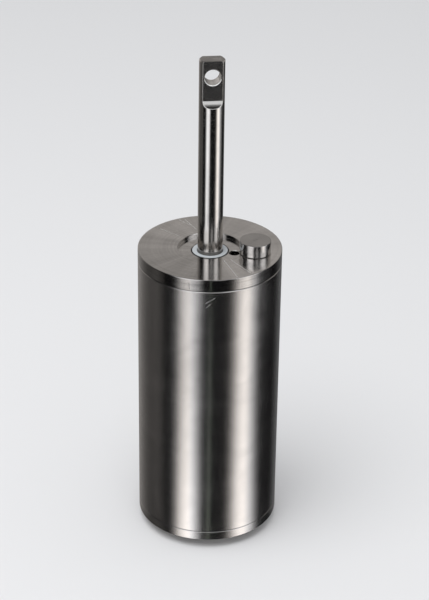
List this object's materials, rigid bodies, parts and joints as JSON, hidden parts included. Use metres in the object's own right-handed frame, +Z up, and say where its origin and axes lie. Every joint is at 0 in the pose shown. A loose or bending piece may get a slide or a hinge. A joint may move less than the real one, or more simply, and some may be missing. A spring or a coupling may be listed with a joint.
{
  "type": "film developing tank",
  "caption": "Turned steel film developing tank: closed cylinder on rubber feet, with a rod through the lid that has an eye at the top and carries film reels, and a filling plug.",
  "frame": {"origin": "centre of the base, on the surface that the tank stands on", "axes": "+Z up along the rod; the flats of the eye face -Y and +Y, so the eye is seen through along Y"},
  "size_m": [0.092, 0.092, 0.328],
  "materials": {
    "tank_steel": "fine turned, satin",
    "lid_steel": "faced, satin with fine scratches",
    "rod_steel": "ground bar, semi-bright, milled flats",
    "plug_steel": "fine turned, satin",
    "fastener_steel": "machined",
    "reel_steel": "electropolished wire and sheet",
    "spring_steel": "tempered strip, satin",
    "white_plastic": "turned PTFE",
    "black_rubber": "moulded, matt"
  },
  "bodies": {
    "tank": {"tank_tube": "tank_steel", "base_disc": "tank_steel", "base_seal": "black_rubber", "rubber_foot_1": "black_rubber", "rubber_foot_2": "black_rubber", "rubber_foot_3": "black_rubber", "foot_screw_1": "fastener_steel", "foot_screw_2": "fastener_steel", "foot_screw_3": "fastener_steel"},
    "rod_foot": {"foot_bearing": "white_plastic"},
    "rod": {"rod": "rod_steel", "carrier_clip": "spring_steel", "reel_carrier": "fastener_steel", "reel_1_hub": "reel_steel", "reel_1_lower_side": "reel_steel", "reel_1_upper_side": "reel_steel", "reel_1_film_clip": "spring_steel", "reel_2_hub": "reel_steel", "reel_2_lower_side": "reel_steel", "reel_2_upper_side": "reel_steel", "reel_2_film_clip": "spring_steel", "reel_3_hub": "reel_steel", "reel_3_lower_side": "reel_steel", "reel_3_upper_side": "reel_steel", "reel_3_film_clip": "spring_steel", "stop_collar": "fastener_steel", "collar_screw": "fastener_steel"},
    "lid": {"lid_disc": "lid_steel", "lid_seal": "black_rubber", "guide_bush": "white_plastic", "rod_seal": "black_rubber", "bush_clip": "spring_steel", "light_baffle": "reel_steel", "baffle_spacer_1": "fastener_steel", "baffle_spacer_2": "fastener_steel", "baffle_spacer_3": "fastener_steel", "baffle_screw_1": "fastener_steel", "baffle_screw_2": "fastener_steel", "baffle_screw_3": "fastener_steel"},
    "plug": {"filling_plug": "plug_steel", "plug_seal": "black_rubber"}
  },
  "joints": [
    {"name": "rod_lift", "type": "slide", "parent": "tank", "child": "rod_foot", "axis": [0, 0, 1], "range_m": [0, 0.2]},
    {"name": "rod_spin", "type": "hinge", "parent": "rod_foot", "child": "rod", "pos_m": [0, 0, 0.2], "axis": [0, 0, 1], "continuous": true},
    {"name": "lid_lift", "type": "slide", "parent": "rod_foot", "child": "lid", "axis": [0, 0, 1], "range_m": [0, 0.16]},
    {"name": "plug_lift", "type": "slide", "parent": "lid", "child": "plug", "axis": [0, 0, 1], "range_m": [0, 0.025]}
  ]
}
